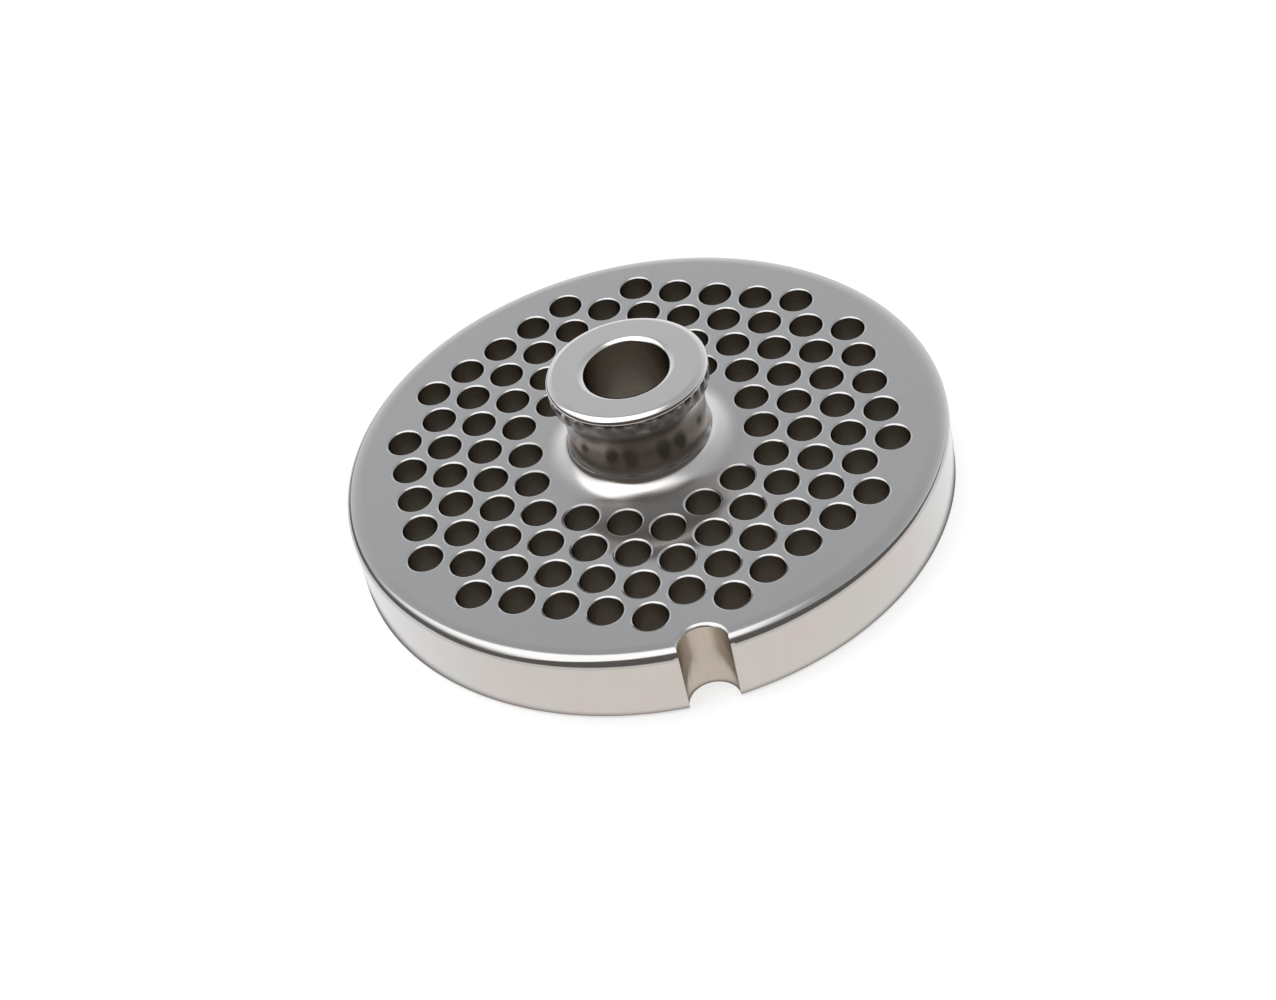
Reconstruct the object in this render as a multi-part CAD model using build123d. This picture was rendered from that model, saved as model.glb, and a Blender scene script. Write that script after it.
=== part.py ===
from build123d import *
import math
import os

# Meat grinder plate: one turned and drilled stainless steel plate with a raised hub.
# Millimetres. +Z runs up the hub's axis, z = 0 is the ground underside, and the
# locating notch in the rim faces -Y.

# Plate
PLATE_DIAMETER = 82.5
PLATE_THICKNESS = 10.2
RIM_ROUNDING = 2.0          # polished upper edge of the rim
UNDERSIDE_BREAK = 0.35      # small bevel round the underside

# Hub
HUB_HEIGHT = 12.8           # above the plate's upper face
FLANGE_DIAMETER = 21.8
FLANGE_BAND = 2.0           # straight part of the flange's side
FLANGE_ROUNDING = 1.15      # upper edge of the flange
FLANGE_LOWER_BREAK = 0.3    # bevel under the flange
NECK_DIAMETER = 19.0        # narrowest part of the waist
NECK_WAIST_HEIGHT = 5.5     # where the flare under the flange starts, above the plate
ROOT_FILLET = 2.4           # hollow between neck and plate

# Bore through hub and plate
BORE_DIAMETER = 11.6
BORE_LIP = 0.75             # rounding of the bore's upper mouth

# Drilled hole field: a hexagon of holes in rows along Y
HOLE_DIAMETER = 4.76
HOLE_PITCH = 6.11
INNER_RINGS_LEFT_OUT = 2    # hexagonal rings that the hub takes the place of
OUTER_RING = 6              # last hexagonal ring, drilled without its six corners

# Locating notch, a half-round slot through the rim
NOTCH_RADIUS = 3.35
NOTCH_INSET = 0.45          # its centre, inside the rim
NOTCH_LIP = 0.55            # rounding of its upper edge

CUT_MARGIN = 1.0            # how far a cutter runs past a face

plate_radius = PLATE_DIAMETER / 2
flange_radius = FLANGE_DIAMETER / 2
neck_radius = NECK_DIAMETER / 2
hub_top = PLATE_THICKNESS + HUB_HEIGHT


def turned_blank():
    """The plate and hub as they come off the lathe, before any hole is made."""
    band_top = hub_top - FLANGE_ROUNDING
    band_foot = band_top - FLANGE_BAND
    flare_top = (flange_radius - FLANGE_LOWER_BREAK, band_foot - FLANGE_LOWER_BREAK)
    waist = (neck_radius, PLATE_THICKNESS + NECK_WAIST_HEIGHT)
    root_top = (neck_radius, PLATE_THICKNESS + ROOT_FILLET)
    root_foot = (neck_radius + ROOT_FILLET, PLATE_THICKNESS)
    with BuildSketch(Plane.XZ) as section:
        with BuildLine():
            Line((0, 0), (plate_radius - UNDERSIDE_BREAK, 0))
            Line((plate_radius - UNDERSIDE_BREAK, 0), (plate_radius, UNDERSIDE_BREAK))
            Line((plate_radius, UNDERSIDE_BREAK), (plate_radius, PLATE_THICKNESS - RIM_ROUNDING))
            TangentArc(
                (plate_radius, PLATE_THICKNESS - RIM_ROUNDING),
                (plate_radius - RIM_ROUNDING, PLATE_THICKNESS),
                tangent=(0, 1),
            )
            Line((plate_radius - RIM_ROUNDING, PLATE_THICKNESS), root_foot)
            TangentArc(root_foot, root_top, tangent=(-1, 0))
            Line(root_top, waist)
            TangentArc(waist, flare_top, tangent=(0, 1))
            Line(flare_top, (flange_radius, band_foot))
            Line((flange_radius, band_foot), (flange_radius, band_top))
            TangentArc(
                (flange_radius, band_top),
                (flange_radius - FLANGE_ROUNDING, hub_top),
                tangent=(0, 1),
            )
            Line((flange_radius - FLANGE_ROUNDING, hub_top), (0, hub_top))
            Line((0, hub_top), (0, 0))
        make_face()
    return revolve(section.sketch, axis=Axis.Z)


def rounded_mouth_cutter(radius, lip, mouth_z):
    """A round cutter from below the underside to mouth_z, its mouth flared by a quarter round."""
    with BuildSketch(Plane.XZ) as section:
        with BuildLine():
            Line((0, -CUT_MARGIN), (radius, -CUT_MARGIN))
            Line((radius, -CUT_MARGIN), (radius, mouth_z - lip))
            TangentArc((radius, mouth_z - lip), (radius + lip, mouth_z), tangent=(0, 1))
            Line((radius + lip, mouth_z), (radius + lip, mouth_z + CUT_MARGIN))
            Line((radius + lip, mouth_z + CUT_MARGIN), (0, mouth_z + CUT_MARGIN))
            Line((0, mouth_z + CUT_MARGIN), (0, -CUT_MARGIN))
        make_face()
    return revolve(section.sketch, axis=Axis.Z)


def hole_centres():
    """Centres of the hole field, ring by ring on a triangular grid about the axis."""
    centres = []
    for u in range(-OUTER_RING, OUTER_RING + 1):
        for v in range(-OUTER_RING, OUTER_RING + 1):
            ring = max(abs(u), abs(v), abs(u + v))
            is_corner = ring == OUTER_RING and 0 in (u, v, u + v)
            if INNER_RINGS_LEFT_OUT < ring <= OUTER_RING and not is_corner:
                x = HOLE_PITCH * math.cos(math.radians(30)) * u
                y = HOLE_PITCH * (u / 2 + v)
                centres.append((x, y))
    return centres


def drill():
    """The straight cutter that every hole of the field shares."""
    depth = PLATE_THICKNESS + 2 * CUT_MARGIN
    align = (Align.CENTER, Align.CENTER, Align.MIN)
    return Pos(0, 0, -CUT_MARGIN) * Cylinder(HOLE_DIAMETER / 2, depth, align=align)


def notch_cutter():
    """The half-round notch at -Y, open to the rim and to both faces."""
    centre_y = -(plate_radius - NOTCH_INSET)
    return Pos(0, centre_y, 0) * rounded_mouth_cutter(NOTCH_RADIUS, NOTCH_LIP, PLATE_THICKNESS)


def grinder_plate():
    """The finished plate: the turned blank, bored, drilled and notched."""
    holes = [Pos(x, y, 0) * drill() for x, y in hole_centres()]
    bore = rounded_mouth_cutter(BORE_DIAMETER / 2, BORE_LIP, hub_top)
    return turned_blank() - [bore, notch_cutter(), *holes]


os.makedirs("parts", exist_ok=True)
export_step(grinder_plate(), "parts/grinder_plate.step")
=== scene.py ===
import math

import bpy
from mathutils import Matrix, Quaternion, Vector


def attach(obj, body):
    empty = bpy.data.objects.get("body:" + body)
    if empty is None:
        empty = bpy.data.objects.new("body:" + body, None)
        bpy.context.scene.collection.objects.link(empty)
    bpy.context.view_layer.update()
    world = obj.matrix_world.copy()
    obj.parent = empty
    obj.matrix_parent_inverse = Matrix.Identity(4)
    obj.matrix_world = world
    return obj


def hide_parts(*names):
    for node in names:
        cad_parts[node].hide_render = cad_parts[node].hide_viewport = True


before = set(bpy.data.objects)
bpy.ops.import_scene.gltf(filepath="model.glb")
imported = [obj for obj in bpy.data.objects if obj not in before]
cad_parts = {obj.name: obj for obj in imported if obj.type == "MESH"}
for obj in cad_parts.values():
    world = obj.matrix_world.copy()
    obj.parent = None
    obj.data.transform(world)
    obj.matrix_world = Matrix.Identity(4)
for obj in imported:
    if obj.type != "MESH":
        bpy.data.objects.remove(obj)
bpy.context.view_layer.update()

MM = 0.001

# Plate
PLATE_RADIUS = 41.25 * MM
PLATE_THICKNESS = 10.2 * MM
UNDERSIDE_BREAK = 0.35 * MM

# Hub
HUB_HEIGHT = 12.8 * MM
FLANGE_RADIUS = 10.9 * MM
FLANGE_BAND = 2.0 * MM
FLANGE_TAPER = 0.12 * MM
FLANGE_LOWER_BREAK = 0.3 * MM
NECK_RADIUS = 9.5 * MM
NECK_WAIST_HEIGHT = 5.5 * MM
BORE_RADIUS = 5.8 * MM

# Drilled hole field
HOLE_RADIUS = 2.38 * MM
HOLE_PITCH = 6.11 * MM
INNER_RINGS_LEFT_OUT = 2
OUTER_RING = 6

# Locating notch
NOTCH_RADIUS = 3.35 * MM
NOTCH_INSET = 0.45 * MM

# Edges are bevelled and then buffed: each is three arcs in a row, from the wall up to
# the face, and these are their radii. The middle one is the nearly straight bevel.
# BEVEL_ANGLES are the surface's slopes, in degrees, where the arcs meet.
BEVEL_ANGLES = (0, 57, 73, 90)
OUTER = 1
INNER = -1
RIM_EDGE = (1.15 * MM, 2.6 * MM, 4.3 * MM)
FLANGE_EDGE = (0.55 * MM, 2.4 * MM, 0.8 * MM)
ROOT_HOLLOW = (1.4 * MM, 6.9 * MM, 6.0 * MM)
BORE_EDGE = (0.15 * MM, 2.6 * MM, 0.2 * MM)
HOLE_EDGE = (0.05 * MM, 1.05 * MM, 0.08 * MM)
NOTCH_EDGE = (0.2 * MM, 1.8 * MM, 0.3 * MM)

# How finely round forms are divided
TURNED_SEGMENTS = 256
HOLE_SEGMENTS = 48
NOTCH_SEGMENTS = 64
ARC_STEPS = 6
EDGE_STEPS = (5, 3, 5)
MOUTH_STEPS = (2, 2, 2)
CUT_MARGIN = 1.0 * MM
WELD_GAP = 0.0001 * MM
HAIR = 0.01 * MM

# Smooth shading. Faces that are level or upright to within the first pair keep their own
# normals, where a smoothed normal lies within the second pair of them.
SMOOTH_ANGLE = math.radians(25)
LEVEL_FACE = 0.9999
UPRIGHT_FACE = 0.001
NEARLY_LEVEL = 0.85
NEARLY_UPRIGHT = 0.4

HUB_TOP = PLATE_THICKNESS + HUB_HEIGHT

# Finishes. A reach is a distance from the axis, and each pair is where one finish begins
# to pass into the next and where it has done so.
HUB_POLISH_REACH = (13.5 * MM, 11.0 * MM)
HUB_SCUFF_REACH = (19.5 * MM, 14.0 * MM)
# ROOT_HEIGHTS and FLANGE_FOOT_HEIGHTS bound the neck's darker, browner tint, which is painted shade under
# the flange.
ROOT_HEIGHTS = (PLATE_THICKNESS + 1.8 * MM, PLATE_THICKNESS + 3.2 * MM)
FLANGE_FOOT_HEIGHTS = (HUB_TOP - 4.0 * MM, HUB_TOP - 3.1 * MM)
FLANGE_EDGE_HEIGHTS = (HUB_TOP - 1.6 * MM, HUB_TOP - 0.9 * MM)
NOTCH_SURROUND = 36.5 * MM  # past this reach nothing is drilled
FACE_METAL = 0.8
HUB_METAL = 0.98
SCUFFED_METAL_LOSS = 0.2
FACE_ROUGHNESS = (0.09, 0.13)
SCUFF_ROUGHNESS = 0.12
NECK_ROUGHNESS = 0.22
FLANGE_ROUGHNESS = 0.09
HUB_UNEVENNESS = (0.85, 1.2)
NOISE_SPREAD = (0.3, 0.7)  # the values between which most of a noise lies

# Camera
CAMERA_PLACE = Vector((-9.4, -258.4, 227.0)) * MM
CAMERA_TARGET = Vector((-2.8, -11.7, 10.2)) * MM
CAMERA_ROLL = math.radians(-13.55)
CAMERA_LENS = 70.46
CAMERA_FILM_WIDTH = 36.0

# Studio floor: how it looks to the camera, and then how the metal mirrors it. A pair is
# again where a change begins and where it is complete, by reach, or by y where it is
# about the floor in front of the plate.
FLOOR_SIZE = 4000 * MM
FLOOR_DROP = 0.1 * MM
FLOOR_COLOUR = (0.8, 0.8, 0.8, 1)
FLOOR_LIFT = 0.67
# The metal sees the floor as a painted reflection: a glow, warmer ahead and dimmer far away and in front.
FLOOR_IN_METAL = (1.0, 1.01, 1.03, 1)
FLOOR_AHEAD_IN_METAL = (0.94, 0.89, 0.85, 1)
FLOOR_AHEAD = (-12 * MM, -45 * MM)
FLOOR_FADE = (85 * MM, 140 * MM)
FLOOR_FRONT = (-20 * MM, -50 * MM)
FLOOR_FAR_IN_METAL = 0.92
FLOOR_FRONT_IN_METAL = 0.25
# Painted shadow in that glow: dark under the plate, lighter under the bore, and clear past the rim and in
# the notch.
UNDER_BORE_REACH = (6.5 * MM, 2.5 * MM)
UNDER_PLATE_REACH = (PLATE_RADIUS - 0.1 * MM, PLATE_RADIUS + 1.2 * MM)
UNDER_NOTCH_REACH = (NOTCH_RADIUS, NOTCH_RADIUS - 0.6 * MM)
PAINTED_SHADOW_UNDER_PLATE = 0.15
PAINTED_SHADOW_UNDER_BORE = 0.34

# Studio tent. Its parts lie in directions whose x, y and z are between -1 and 1, and each
# pair is where a part begins and where it is full.
WALL_COLOUR = (0.98, 1.0, 1.03)
WALL_HEIGHTS = (0.0, 0.9)
WALL_LOW = 0.95
WALL_HIGH = 0.47
OPENING_LEAN = (0.3, 0.75)  # how far the opening's top drops towards the right and the back
OPENING_TOP = (0.59, 0.68)
OPENING_COLOUR = (0.085, 0.075, 0.067, 1)
SOFTBOX_FOOT = (0.2, 0.4)
SOFTBOX_FRONT = (-0.32, -0.22)
SOFTBOX_BACK = (0.3, 0.19)
SOFTBOX_SLANT = 0.4  # how far its back edge turns with x
SOFTBOX_LEFT = (-0.85, -0.45)
SOFTBOX_RIGHT = (0.38, 0.1)
SOFTBOX_LIGHT = (1.9, 1.9, 1.9, 1)
WHITE = (1, 1, 1, 1)


# ---------------------------------------------------------------- modelling


def deselect_all():
    bpy.ops.object.select_all(action="DESELECT")


def make_active(piece):
    deselect_all()
    piece.select_set(True)
    bpy.context.view_layer.objects.active = piece


def arc(centre, radius, start_angle, end_angle):
    """Stations (radius, height) along an arc of a turned profile, ends included."""
    stations = []
    for step in range(ARC_STEPS + 1):
        angle = math.radians(start_angle + (end_angle - start_angle) * step / ARC_STEPS)
        stations.append((centre[0] + radius * math.cos(angle), centre[1] + radius * math.sin(angle)))
    return stations


def turn(name, stations, segments, closed=False):
    """Turns a profile of (radius, height) stations round Z, ring by ring."""
    deselect_all()
    first_radius, first_height = stations[0]
    bpy.ops.mesh.primitive_circle_add(
        vertices=segments,
        radius=first_radius,
        location=(0, 0, first_height),
        fill_type="NOTHING" if closed else "NGON",
    )
    piece = bpy.context.object
    piece.name = name
    bpy.ops.object.transform_apply(location=True)
    bpy.ops.object.mode_set(mode="EDIT")
    bpy.ops.mesh.select_all(action="SELECT")
    for (radius, height), (next_radius, next_height) in zip(stations, stations[1:]):
        bpy.ops.mesh.extrude_region_move()
        scale = next_radius / radius
        bpy.ops.transform.resize(value=(scale, scale, 1), center_override=(0, 0, height))
        bpy.ops.transform.translate(value=(0, 0, next_height - height))
    bpy.ops.mesh.select_all(action="SELECT")
    bpy.ops.mesh.remove_doubles(threshold=WELD_GAP)
    bpy.ops.mesh.normals_make_consistent(inside=False)
    bpy.ops.object.mode_set(mode="OBJECT")
    return piece


def edge_curve(radii, steps, side=OUTER):
    """Stations of a bevelled and buffed edge, from its wall at (0, 0) up to its face."""
    stations = [(0, 0)]
    for radius, low, high, count in zip(radii, BEVEL_ANGLES, BEVEL_ANGLES[1:], steps):
        foot = stations[-1]
        low, high = math.radians(low), math.radians(high)
        for step in range(1, count + 1):
            angle = low + (high - low) * step / count
            across = radius * (math.cos(angle) - math.cos(low))
            up = radius * (math.sin(angle) - math.sin(low))
            stations.append((foot[0] + side * across, foot[1] + up))
    return stations


def edge_foot(face_height, radii, steps):
    """The height at which an edge below a face at face_height begins."""
    return face_height - edge_curve(radii, steps)[-1][1]


def edge_at(wall_radius, face_height, radii, steps, side=OUTER):
    """The same edge where the wall at wall_radius meets the face at face_height."""
    foot = edge_foot(face_height, radii, steps)
    return [(wall_radius + r, foot + z) for r, z in edge_curve(radii, steps, side)]


def root_curve():
    """The hollow between plate and neck, from the plate's face up to the neck."""
    curve = edge_curve(ROOT_HOLLOW, EDGE_STEPS)
    rise = curve[-1][1]
    return [(NECK_RADIUS - r, PLATE_THICKNESS + rise - z) for r, z in reversed(curve)]


def flare_profile(band_foot):
    """The long hollow curve under the flange, from the waist up to the flange's lower edge."""
    low = (NECK_RADIUS, PLATE_THICKNESS + NECK_WAIST_HEIGHT)
    high = (FLANGE_RADIUS - FLANGE_LOWER_BREAK, band_foot - FLANGE_LOWER_BREAK)
    rise = high[1] - low[1]
    run = high[0] - low[0]
    radius = (rise * rise + run * run) / (2 * run)
    sweep = math.degrees(math.asin(rise / radius))
    return arc((low[0] + radius, low[1]), radius, 180, 180 - sweep)


def turned_profile():
    """The whole section of plate and hub, from the bore's lower edge round and back."""
    stations = [(BORE_RADIUS, 0), (PLATE_RADIUS - UNDERSIDE_BREAK, 0)]
    stations.append((PLATE_RADIUS, UNDERSIDE_BREAK))
    stations += edge_at(PLATE_RADIUS, PLATE_THICKNESS, RIM_EDGE, EDGE_STEPS)
    stations += root_curve()
    band_foot = edge_foot(HUB_TOP, FLANGE_EDGE, EDGE_STEPS) - FLANGE_BAND
    stations += flare_profile(band_foot)
    stations.append((FLANGE_RADIUS - FLANGE_TAPER, band_foot))
    stations += edge_at(FLANGE_RADIUS, HUB_TOP, FLANGE_EDGE, EDGE_STEPS)
    stations += reversed(edge_at(BORE_RADIUS, HUB_TOP, BORE_EDGE, MOUTH_STEPS, INNER))
    stations.append((BORE_RADIUS, 0))
    return stations


def flared_cutter(name, radius, mouth, segments):
    """A drill through the plate, flared like a countersink at its mouth."""
    stations = [(radius, -CUT_MARGIN), (radius, PLATE_THICKNESS / 2)]
    stations += edge_at(radius, PLATE_THICKNESS, mouth, MOUTH_STEPS, INNER)
    stations.append((stations[-1][0], PLATE_THICKNESS + CUT_MARGIN))
    return turn(name, stations, segments)


def hole_centres():
    """The drilled field: hexagonal rings about the axis, the last without its corners."""
    row_spacing = HOLE_PITCH * math.cos(math.radians(30))
    centres = []
    for u in range(-OUTER_RING, OUTER_RING + 1):
        for v in range(-OUTER_RING, OUTER_RING + 1):
            ring = max(abs(u), abs(v), abs(u + v))
            is_corner = ring == OUTER_RING and 0 in (u, v, u + v)
            if INNER_RINGS_LEFT_OUT < ring <= OUTER_RING and not is_corner:
                centres.append(Vector((row_spacing * u, HOLE_PITCH * (u / 2 + v), 0)))
    return centres


def join(pieces):
    deselect_all()
    for piece in pieces:
        piece.select_set(True)
    bpy.context.view_layer.objects.active = pieces[0]
    bpy.ops.object.join()
    bpy.ops.object.transform_apply(location=True, rotation=True, scale=True)
    return pieces[0]


def copies_at(master, places):
    """One copy of the master at each place, each with its own mesh, joined into one."""
    copies = []
    for place in places:
        copy = master.copy()
        copy.data = master.data.copy()
        copy.location = place
        bpy.context.collection.objects.link(copy)
        copies.append(copy)
    bpy.data.objects.remove(master)
    return join(copies)


def cut_away(piece, cutter):
    make_active(piece)
    cut = piece.modifiers.new("cut", "BOOLEAN")
    cut.operation = "DIFFERENCE"
    cut.solver = "EXACT"
    cut.object = cutter
    bpy.ops.object.modifier_apply(modifier=cut.name)
    bpy.data.objects.remove(cutter)


def smooth_with_true_flats(piece):
    """Smooth shading in which flat faces and straight walls keep their exact normals."""
    make_active(piece)
    bpy.ops.object.shade_smooth_by_angle(angle=SMOOTH_ANGLE)
    mesh = piece.data
    level = {}
    upright = set()
    for face in mesh.polygons:
        if abs(face.normal.z) > LEVEL_FACE:
            for vertex in face.vertices:
                level.setdefault(vertex, []).append(face.normal.copy())
        elif abs(face.normal.z) < UPRIGHT_FACE:
            upright.update(face.vertices)
    normals = []
    for loop, corner in zip(mesh.loops, mesh.corner_normals):
        normal = Vector(corner.vector)
        vertex = loop.vertex_index
        for flat in level.get(vertex, ()):
            if normal.dot(flat) > NEARLY_LEVEL:
                normal = flat
        if vertex in upright and abs(normal.z) < NEARLY_UPRIGHT:
            normal = Vector((normal.x, normal.y, 0)).normalized()
        normals.append(normal)
    mesh.normals_split_custom_set(normals)


def make_grinder_plate():
    plate = turn("grinder_plate_polished", turned_profile(), TURNED_SEGMENTS, closed=True)
    drill = flared_cutter("drill", HOLE_RADIUS, HOLE_EDGE, HOLE_SEGMENTS)
    cut_away(plate, copies_at(drill, hole_centres()))
    notch = flared_cutter("notch_cutter", NOTCH_RADIUS, NOTCH_EDGE, NOTCH_SEGMENTS)
    cut_away(plate, copies_at(notch, [Vector((0, NOTCH_INSET - PLATE_RADIUS, 0))]))
    smooth_with_true_flats(plate)
    return plate


# ---------------------------------------------------------------- materials


def new_material(name):
    material = bpy.data.materials.new(name)
    material.use_nodes = True
    nodes = material.node_tree.nodes
    return material, nodes, material.node_tree.links, nodes["Principled BSDF"]


def math_node(nodes, links, operation, first, second=None, third=None):
    node = nodes.new("ShaderNodeMath")
    node.operation = operation
    for socket, value in zip(node.inputs, (first, second, third)):
        if value is None:
            continue
        if isinstance(value, (int, float)):
            socket.default_value = value
        else:
            links.new(value, socket)
    return node.outputs[0]


def ramp_node(nodes, links, value, low, high, at_low=0.0, at_high=1.0):
    """A smooth step of a value, from at_low at low to at_high at high."""
    node = nodes.new("ShaderNodeMapRange")
    node.interpolation_type = "SMOOTHSTEP"
    node.inputs["From Min"].default_value = low
    node.inputs["From Max"].default_value = high
    node.inputs["To Min"].default_value = at_low
    node.inputs["To Max"].default_value = at_high
    links.new(value, node.inputs["Value"])
    return node.outputs["Result"]


def colour_mix(nodes, links, factor, first, second):
    """A colour between first and second, each of them a socket or a plain colour."""
    mix = nodes.new("ShaderNodeMix")
    mix.data_type = "RGBA"
    links.new(factor, mix.inputs["Factor"])
    for socket, colour in ((mix.inputs["A"], first), (mix.inputs["B"], second)):
        if isinstance(colour, tuple):
            socket.default_value = colour
        else:
            links.new(colour, socket)
    return mix.outputs["Result"]


def value_mix(nodes, links, factor, first, second):
    """A value between first and second, each of them a socket or a plain number."""
    change = math_node(nodes, links, "SUBTRACT", second, first)
    return math_node(nodes, links, "MULTIPLY_ADD", change, factor, first)


def vector_node(nodes, links, operation, first, second=None):
    """A vector operation on a socket and, where it takes one, a plain vector."""
    node = nodes.new("ShaderNodeVectorMath")
    node.operation = operation
    links.new(first, node.inputs[0])
    if second is not None:
        node.inputs[1].default_value = second
    return node.outputs["Value" if operation in ("LENGTH", "DISTANCE") else "Vector"]


def reach_from_axis(nodes, links, place):
    """How far a point of Object coordinates lies from the plate's axis."""
    level = vector_node(nodes, links, "MULTIPLY", place, (1, 1, 0))
    return vector_node(nodes, links, "LENGTH", level)


def object_place(nodes):
    return nodes.new("ShaderNodeTexCoord").outputs["Object"]


def parts_of(nodes, links, vector):
    """The x, y and z of a vector, as three sockets."""
    apart = nodes.new("ShaderNodeSeparateXYZ")
    links.new(vector, apart.inputs[0])
    return apart.outputs


def noise_node(nodes, links, place, scale, detail=3.0, stretch=(1, 1, 1)):
    """Cloudy noise of about 1 / scale metres, drawn out where stretch is below one."""
    mapping = nodes.new("ShaderNodeMapping")
    mapping.inputs["Scale"].default_value = stretch
    links.new(place, mapping.inputs["Vector"])
    noise = nodes.new("ShaderNodeTexNoise")
    noise.inputs["Scale"].default_value = scale
    noise.inputs["Detail"].default_value = detail
    links.new(mapping.outputs["Vector"], noise.inputs["Vector"])
    return noise.outputs["Fac"]


def add_bump(nodes, links, shader, height, depth):
    bump = nodes.new("ShaderNodeBump")
    bump.inputs["Strength"].default_value = 1.0
    bump.inputs["Distance"].default_value = depth
    links.new(height, bump.inputs["Height"])
    links.new(bump.outputs["Normal"], shader.inputs["Normal"])


def add_worked_steel(nodes, links, shader, cloud, tints, marks, roughness, depth):
    """Bare steel whose colour goes by a cloud, and whose shine and relief go by tool marks."""
    shader.inputs["Metallic"].default_value = 1.0
    links.new(colour_mix(nodes, links, cloud, *tints), shader.inputs["Base Color"])
    rough = ramp_node(nodes, links, marks, *NOISE_SPREAD, *roughness)
    links.new(rough, shader.inputs["Roughness"])
    add_bump(nodes, links, shader, marks, depth)


def polished_tint(nodes, links, hub, height, cloud, fine_cloud):
    """Grey on the face and brighter on the flange; on the neck under the flange, a darker brown that is
    painted shade.
    """
    face_tint = colour_mix(nodes, links, cloud, (0.585, 0.58, 0.575, 1), (0.62, 0.612, 0.606, 1))
    flange_tint = colour_mix(nodes, links, fine_cloud, (0.75, 0.73, 0.715, 1), (0.8, 0.78, 0.765, 1))
    # Painted shade: the neck under the flange gets a darker, browner tint.
    neck_painted_shade_tint = colour_mix(nodes, links, fine_cloud, (0.38, 0.325, 0.28, 1), (0.45, 0.395, 0.345, 1))
    over_root = ramp_node(nodes, links, height, *ROOT_HEIGHTS)
    under_flange = ramp_node(nodes, links, height, *FLANGE_FOOT_HEIGHTS, 1.0, 0.0)
    neck = math_node(nodes, links, "MULTIPLY", under_flange, over_root)
    hub_tint = colour_mix(nodes, links, neck, flange_tint, neck_painted_shade_tint)
    return colour_mix(nodes, links, hub, face_tint, hub_tint)


def polished_roughness(nodes, links, hub, scuffs, height, cloud, fine_cloud):
    """Fine on the face, a little coarser where it is scuffed, and coarsest on the neck."""
    even = ramp_node(nodes, links, height, *FLANGE_EDGE_HEIGHTS, NECK_ROUGHNESS, FLANGE_ROUGHNESS)
    uneven = ramp_node(nodes, links, fine_cloud, *NOISE_SPREAD, *HUB_UNEVENNESS)
    hub_rough = math_node(nodes, links, "MULTIPLY", even, uneven)
    face_rough = ramp_node(nodes, links, cloud, *NOISE_SPREAD, *FACE_ROUGHNESS)
    face_rough = math_node(nodes, links, "MULTIPLY_ADD", scuffs, SCUFF_ROUGHNESS, face_rough)
    return value_mix(nodes, links, hub, face_rough, hub_rough)


def polished_steel():
    """The upper face and every buffed edge, slightly hazy, and the hub, polished brighter, with painted
    shade on its neck.
    """
    material, nodes, links, shader = new_material("polished_steel")
    place = object_place(nodes)
    height = parts_of(nodes, links, place)["Z"]
    reach = reach_from_axis(nodes, links, place)
    cloud = noise_node(nodes, links, place, scale=90)
    fine_cloud = noise_node(nodes, links, place, scale=260)

    hub = ramp_node(nodes, links, reach, *HUB_POLISH_REACH)
    off_hub = ramp_node(nodes, links, reach, *HUB_POLISH_REACH, 1.0, 0.0)
    near_hub = ramp_node(nodes, links, reach, *HUB_SCUFF_REACH)
    scuffs = math_node(nodes, links, "MULTIPLY", off_hub, near_hub)

    metal = ramp_node(nodes, links, reach, *HUB_POLISH_REACH, FACE_METAL, HUB_METAL)
    metal = math_node(nodes, links, "MULTIPLY_ADD", scuffs, -SCUFFED_METAL_LOSS, metal)
    links.new(metal, shader.inputs["Metallic"])
    tint = polished_tint(nodes, links, hub, height, cloud, fine_cloud)
    links.new(tint, shader.inputs["Base Color"])
    rough = polished_roughness(nodes, links, hub, scuffs, height, cloud, fine_cloud)
    links.new(rough, shader.inputs["Roughness"])
    grain = noise_node(nodes, links, place, scale=2200, detail=2.0)
    add_bump(nodes, links, shader, grain, depth=0.0006 * MM)
    return material


def turned_rim_steel():
    """The rim's side wall: turned and buffed, with faint upright clouds of warm and cool."""
    material, nodes, links, shader = new_material("turned_rim_steel")
    place = object_place(nodes)
    cloud = noise_node(nodes, links, place, scale=170, detail=4.0, stretch=(1, 1, 0.45))
    cloud = ramp_node(nodes, links, cloud, low=0.35, high=0.65)
    tints = ((0.64, 0.6, 0.59, 1), (0.615, 0.615, 0.59, 1))
    marks = noise_node(nodes, links, place, scale=900, stretch=(1, 1, 0.2))
    add_worked_steel(nodes, links, shader, cloud, tints, marks, roughness=(0.12, 0.18), depth=0.002 * MM)
    return material


def drilled_steel():
    """Walls of the drilled holes and of the bore: darker, with fine rings left by the drill."""
    material, nodes, links, shader = new_material("drilled_steel")
    place = object_place(nodes)
    cloud = noise_node(nodes, links, place, scale=400)
    tints = ((0.53, 0.49, 0.435, 1), (0.61, 0.565, 0.51, 1))
    rings = noise_node(nodes, links, place, scale=2600, detail=2.0, stretch=(0.03, 0.03, 1))
    add_worked_steel(nodes, links, shader, cloud, tints, rings, roughness=(0.16, 0.24), depth=0.0006 * MM)
    return material


def milled_notch_steel():
    """The notch's wall: milled, satin and a little straw-coloured, with upright cutter marks."""
    material, nodes, links, shader = new_material("milled_notch_steel")
    place = object_place(nodes)
    cloud = noise_node(nodes, links, place, scale=300, stretch=(1, 1, 0.4))
    tints = ((0.5, 0.455, 0.395, 1), (0.59, 0.54, 0.475, 1))
    marks = noise_node(nodes, links, place, scale=1800, detail=2.0, stretch=(1, 1, 0.06))
    add_worked_steel(nodes, links, shader, cloud, tints, marks, roughness=(0.24, 0.34), depth=0.0015 * MM)
    return material


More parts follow.
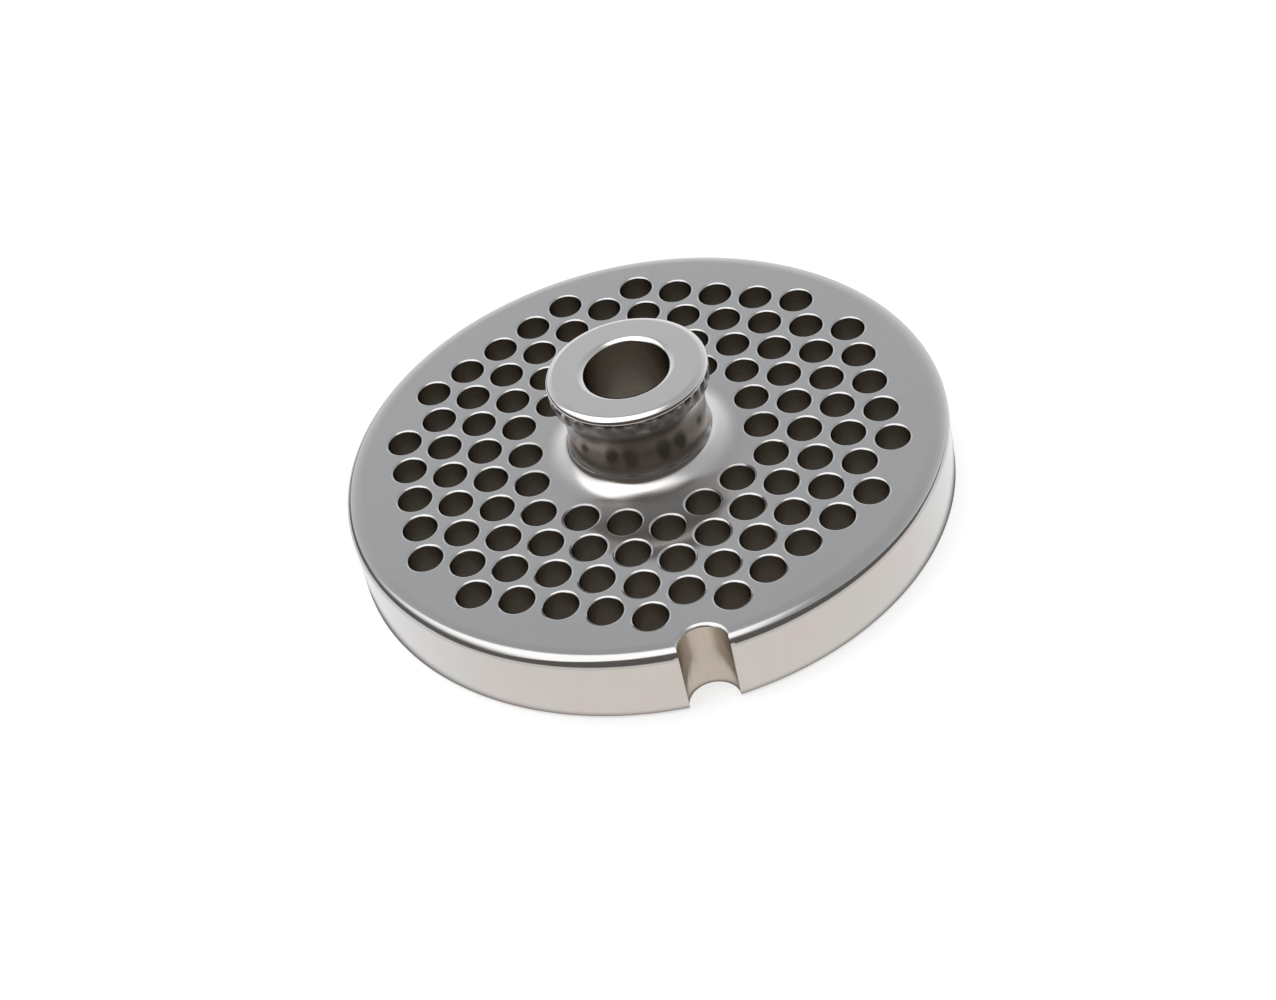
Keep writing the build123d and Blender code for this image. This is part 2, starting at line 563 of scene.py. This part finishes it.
def ground_underside_steel():
    """The flat cutting side, ground in fine circles about the axis."""
    material, nodes, links, shader = new_material("ground_underside_steel")
    place = object_place(nodes)
    cloud = noise_node(nodes, links, place, scale=90)
    tints = ((0.57, 0.545, 0.51, 1), (0.64, 0.61, 0.575, 1))
    circles = nodes.new("ShaderNodeTexNoise")
    circles.noise_dimensions = "1D"
    circles.inputs["Scale"].default_value = 6000
    circles.inputs["Detail"].default_value = 2.0
    links.new(reach_from_axis(nodes, links, place), circles.inputs["W"])
    marks = circles.outputs["Fac"]
    add_worked_steel(nodes, links, shader, cloud, tints, marks, roughness=(0.2, 0.32), depth=0.003 * MM)
    return material


FINISHES = (
    polished_steel,
    turned_rim_steel,
    drilled_steel,
    milled_notch_steel,
    ground_underside_steel,
)


def finish_of(face, heights, mouth_foot, rim_foot):
    """The finish that a face of the plate has, by where it lies and how high its corners are."""
    reach = math.hypot(face.center.x, face.center.y)
    notch_reach = math.hypot(face.center.x, face.center.y + PLATE_RADIUS - NOTCH_INSET)
    low, high = min(heights), max(heights)
    if high < HAIR:
        return ground_underside_steel
    if reach < BORE_RADIUS + HAIR:
        return drilled_steel
    if high > PLATE_THICKNESS + HAIR or low > mouth_foot - HAIR:
        return polished_steel
    if notch_reach < NOTCH_RADIUS + HAIR:
        return milled_notch_steel
    if reach > PLATE_RADIUS - UNDERSIDE_BREAK and high < rim_foot + HAIR:
        return turned_rim_steel
    if reach > NOTCH_SURROUND:
        return polished_steel
    return drilled_steel


def finish_plate(plate):
    plate.data.materials.clear()
    for finish in FINISHES:
        plate.data.materials.append(finish())
    mouth_foot = edge_foot(PLATE_THICKNESS, HOLE_EDGE, MOUTH_STEPS)
    rim_foot = edge_foot(PLATE_THICKNESS, RIM_EDGE, EDGE_STEPS)
    vertices = plate.data.vertices
    for face in plate.data.polygons:
        heights = [vertices[corner].co.z for corner in face.vertices]
        finish = finish_of(face, heights, mouth_foot, rim_foot)
        face.material_index = FINISHES.index(finish)


# ---------------------------------------------------------------- studio


def shader_mix(nodes, links, factor, first, second):
    mix = nodes.new("ShaderNodeMixShader")
    for socket, source in zip(mix.inputs, (factor, first, second)):
        links.new(source, socket)
    return mix.outputs[0]


def painted_floor_reflection(nodes, links):
    """A painted reflection of the floor for the metal: a glow, dimmer far away and in front, with a
    painted shadow under the plate.
    """
    place = object_place(nodes)
    y = parts_of(nodes, links, place)["Y"]
    reach = vector_node(nodes, links, "LENGTH", place)
    notch_reach = vector_node(nodes, links, "DISTANCE", place, (0, NOTCH_INSET - PLATE_RADIUS, 0))

    far = ramp_node(nodes, links, reach, *FLOOR_FADE)
    far_light = ramp_node(nodes, links, y, *FLOOR_FRONT, FLOOR_FAR_IN_METAL, FLOOR_FRONT_IN_METAL)
    light = value_mix(nodes, links, far, 1.0, far_light)

    # Painted shadow: the glow is dark under the plate, lighter under the bore, and clear past the rim and
    # in the notch.
    shade = ramp_node(nodes, links, reach, *UNDER_BORE_REACH, PAINTED_SHADOW_UNDER_PLATE, PAINTED_SHADOW_UNDER_BORE)
    outside = ramp_node(nodes, links, reach, *UNDER_PLATE_REACH)
    in_notch = ramp_node(nodes, links, notch_reach, *UNDER_NOTCH_REACH)
    for clear in (outside, in_notch):
        shade = math_node(nodes, links, "MAXIMUM", shade, clear)

    ahead = ramp_node(nodes, links, y, *FLOOR_AHEAD)
    colour = colour_mix(nodes, links, ahead, FLOOR_IN_METAL, FLOOR_AHEAD_IN_METAL)
    glow = nodes.new("ShaderNodeEmission")
    links.new(colour, glow.inputs["Color"])
    links.new(math_node(nodes, links, "MULTIPLY", light, shade), glow.inputs["Strength"])
    return glow.outputs[0]


def floor_material():
    """White paper, lifted to white for the camera; the metal sees a painted reflection of it instead."""
    material, nodes, links, shader = new_material("pale_floor")
    shader.inputs["Base Color"].default_value = FLOOR_COLOUR
    shader.inputs["Roughness"].default_value = 1.0
    shader.inputs["Specular IOR Level"].default_value = 0.0
    paper = shader.outputs[0]
    glow = nodes.new("ShaderNodeEmission")
    glow.inputs["Color"].default_value = WHITE
    glow.inputs["Strength"].default_value = FLOOR_LIFT
    lifted = nodes.new("ShaderNodeAddShader")
    links.new(paper, lifted.inputs[0])
    links.new(glow.outputs[0], lifted.inputs[1])

    rays = nodes.new("ShaderNodeLightPath").outputs
    plain = shader_mix(nodes, links, rays["Is Camera Ray"], paper, lifted.outputs[0])
    in_metal = math_node(nodes, links, "MAXIMUM", rays["Is Glossy Ray"], rays["Is Transmission Ray"])
    seen = shader_mix(nodes, links, in_metal, plain, painted_floor_reflection(nodes, links))
    links.new(seen, nodes["Material Output"].inputs["Surface"])
    return material


def make_floor():
    deselect_all()
    bpy.ops.mesh.primitive_plane_add(size=FLOOR_SIZE, location=(0, 0, -FLOOR_DROP))
    floor = bpy.context.object
    floor.name = "studio_floor"
    floor.data.materials.append(floor_material())


def tent_light(nodes, links, x, y, z):
    """Pale walls, dimmer higher up, and a dark open front that reaches round to the left."""
    wall = ramp_node(nodes, links, z, *WALL_HEIGHTS, WALL_LOW, WALL_HIGH)
    pale = nodes.new("ShaderNodeCombineColor")
    for socket, share in zip(pale.inputs, WALL_COLOUR):
        links.new(math_node(nodes, links, "MULTIPLY", wall, share), socket)
    height = z
    for part, lean in zip((x, y), OPENING_LEAN):
        height = math_node(nodes, links, "MULTIPLY_ADD", part, lean, height)
    opening = ramp_node(nodes, links, height, *OPENING_TOP, 1.0, 0.0)
    return colour_mix(nodes, links, opening, pale.outputs[0], OPENING_COLOUR)


def softbox_share(nodes, links, x, y, z):
    """How much of the softbox overhead is seen in a direction."""
    share = ramp_node(nodes, links, z, *SOFTBOX_FOOT)
    back = math_node(nodes, links, "MULTIPLY_ADD", x, SOFTBOX_SLANT, y)
    edges = ((y, SOFTBOX_FRONT), (back, SOFTBOX_BACK), (x, SOFTBOX_LEFT), (x, SOFTBOX_RIGHT))
    for part, edge in edges:
        inside = ramp_node(nodes, links, part, *edge)
        share = math_node(nodes, links, "MULTIPLY", share, inside)
    return share


def make_world():
    """A light tent with a softbox overhead, towards the left, and white to the camera itself."""
    world = bpy.data.worlds.new("studio")
    bpy.context.scene.world = world
    world.use_nodes = True
    nodes, links = world.node_tree.nodes, world.node_tree.links
    direction = nodes.new("ShaderNodeTexCoord").outputs["Generated"]
    x, y, z = parts_of(nodes, links, direction)
    tent = tent_light(nodes, links, x, y, z)
    light = colour_mix(nodes, links, softbox_share(nodes, links, x, y, z), tent, SOFTBOX_LIGHT)
    rays = nodes.new("ShaderNodeLightPath").outputs
    seen = colour_mix(nodes, links, rays["Is Camera Ray"], light, WHITE)
    links.new(seen, nodes["Background"].inputs["Color"])


def make_camera():
    camera = bpy.data.cameras.new("camera")
    camera.lens = CAMERA_LENS
    camera.sensor_width = CAMERA_FILM_WIDTH
    camera_object = bpy.data.objects.new("camera", camera)
    bpy.context.collection.objects.link(camera_object)
    camera_object.location = CAMERA_PLACE
    camera_object.rotation_mode = "QUATERNION"
    aim = (CAMERA_TARGET - CAMERA_PLACE).to_track_quat("-Z", "Y")
    camera_object.rotation_quaternion = aim @ Quaternion((0, 0, 1), CAMERA_ROLL)
    bpy.context.scene.camera = camera_object


plate = make_grinder_plate()
finish_plate(plate)
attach(plate, "root")
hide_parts("grinder_plate")

make_floor()
make_world()
make_camera()

bpy.context.scene.view_settings.view_transform = "Standard"
